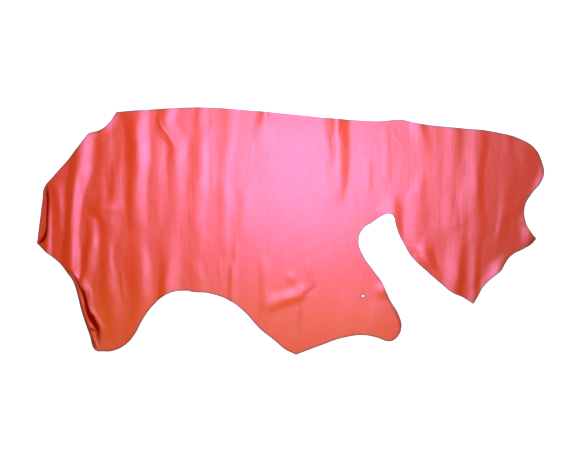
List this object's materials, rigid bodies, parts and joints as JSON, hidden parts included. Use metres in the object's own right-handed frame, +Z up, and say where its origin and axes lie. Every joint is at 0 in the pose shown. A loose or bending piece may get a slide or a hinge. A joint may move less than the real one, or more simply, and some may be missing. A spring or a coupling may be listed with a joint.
{
  "type": "leather hide",
  "caption": "Half cattle hide in pearl-finished leather, an uneven thin sheet laid flat grain side up, with soft ripples and rolled edges.",
  "frame": {"origin": "middle of the hide's box, on the surface that the hide lies on", "axes": "+X along the back towards the neck, +Y towards the back edge, +Z up out of the grain side"},
  "size_m": [2.282, 1.114, 0.013],
  "materials": {
    "leather": "red pearl finish on smooth grain, satin"
  },
  "bodies": {
    "root": {"hide": "leather"}
  },
  "joints": []
}
